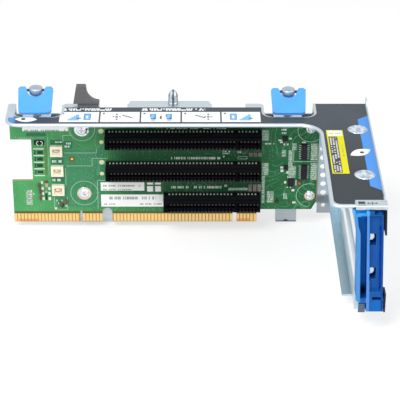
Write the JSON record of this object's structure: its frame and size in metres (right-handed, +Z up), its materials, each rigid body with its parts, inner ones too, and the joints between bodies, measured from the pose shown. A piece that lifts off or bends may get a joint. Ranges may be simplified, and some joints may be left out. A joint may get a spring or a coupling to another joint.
{
  "type": "pcie riser kit",
  "caption": "Folded steel cage with an upright riser board, card slots, rear bracket with windows, blue card latch and half-turn spring latches.",
  "frame": {"origin": "middle of the bounding box at its underside", "axes": "+Z up, +X along the board towards the rear bracket, cards plug in from the -Y side"},
  "size_m": [0.2064, 0.1262, 0.0898],
  "materials": {
    "sheet_steel": "zinc-coated sheet, fine rolled grain",
    "plate_steel": "plated, satin",
    "bright_steel": "bright nickel plate",
    "spring_steel": "drawn wire",
    "label_print": "printed polyester label, satin",
    "label_yellow": "printed polyester label",
    "label_white": "printed polyester label",
    "board_green": "green solder mask over glass laminate",
    "gold_plate": "gold plated contacts",
    "solder": "solder",
    "slot_black": "moulded connector plastic",
    "chip_black": "epoxy chip body",
    "ceramic_cream": "moulded cream plastic",
    "part_brown": "ceramic chip parts",
    "latch_blue": "moulded plastic, satin",
    "hook_grey": "moulded plastic, fine grain"
  },
  "bodies": {
    "cage": {"cage_frame": "sheet_steel", "rear_bracket": "sheet_steel", "latch_keeper": "plate_steel", "cage_joints": "plate_steel", "instruction_label": "label_print", "service_label": "label_yellow", "riser_board": "board_green", "edge_contacts": "gold_plate", "card_slot_top": "slot_black", "card_slot_middle": "slot_black", "card_slot_bottom": "slot_black", "slot_contacts_top": "gold_plate", "slot_contacts_middle": "gold_plate", "slot_contacts_bottom": "gold_plate", "contact_tails": "solder", "board_screws": "bright_steel", "board_spacers": "plate_steel", "latch_spring_left": "spring_steel", "latch_spring_right": "spring_steel", "guide_pin": "bright_steel", "cable_hook": "hook_grey", "card_latch_pin": "spring_steel", "logic_chips": "chip_black", "chip_leads": "solder", "small_chips": "chip_black", "terminal_blocks": "ceramic_cream", "resistor_packs": "part_brown", "capacitors": "part_brown", "board_labels": "label_white"},
    "left_washer": {"latch_washer_left": "plate_steel"},
    "left_post": {"latch_post_left": "plate_steel", "latch_clip_left": "spring_steel", "latch_pin_left": "spring_steel"},
    "left_tab": {"latch_tab_left": "latch_blue"},
    "right_washer": {"latch_washer_right": "plate_steel"},
    "right_post": {"latch_post_right": "plate_steel", "latch_clip_right": "spring_steel", "latch_pin_right": "spring_steel"},
    "right_tab": {"latch_tab_right": "latch_blue"},
    "card_latch": {"card_latch": "latch_blue"}
  },
  "joints": [
    {"name": "left_press", "type": "slide", "parent": "cage", "child": "left_washer", "axis": [0, 0, 1], "range_m": [-0.0096, 0], "stiffness_N_per_m": 300, "springref_m": 0.006, "deforming": ["latch_spring_left"]},
    {"name": "left_turn", "type": "hinge", "parent": "left_washer", "child": "left_post", "pos_m": [-0.08685, 0.0565, 0.0868], "axis": [0, 0, 1], "range_deg": [0, 180]},
    {"name": "left_tab_lift", "type": "hinge", "parent": "left_post", "child": "left_tab", "pos_m": [-0.08685, 0.0565, 0.0868], "axis": [-1, 0, 0], "range_deg": [0, 130]},
    {"name": "right_press", "type": "slide", "parent": "cage", "child": "right_washer", "axis": [0, 0, 1], "range_m": [-0.0086, 0], "stiffness_N_per_m": 300, "springref_m": 0.006, "deforming": ["latch_spring_right"]},
    {"name": "right_turn", "type": "hinge", "parent": "right_washer", "child": "right_post", "pos_m": [0.05605, 0.0565, 0.0858], "axis": [0, 0, 1], "range_deg": [0, 180]},
    {"name": "right_tab_lift", "type": "hinge", "parent": "right_post", "child": "right_tab", "pos_m": [0.05605, 0.0565, 0.0858], "axis": [-1, 0, 0], "range_deg": [0, 130]},
    {"name": "card_latch_swing", "type": "hinge", "parent": "cage", "child": "card_latch", "pos_m": [0.09395, -0.0575, 0.0162], "axis": [1, 0, 0], "range_deg": [0, 95]}
  ]
}
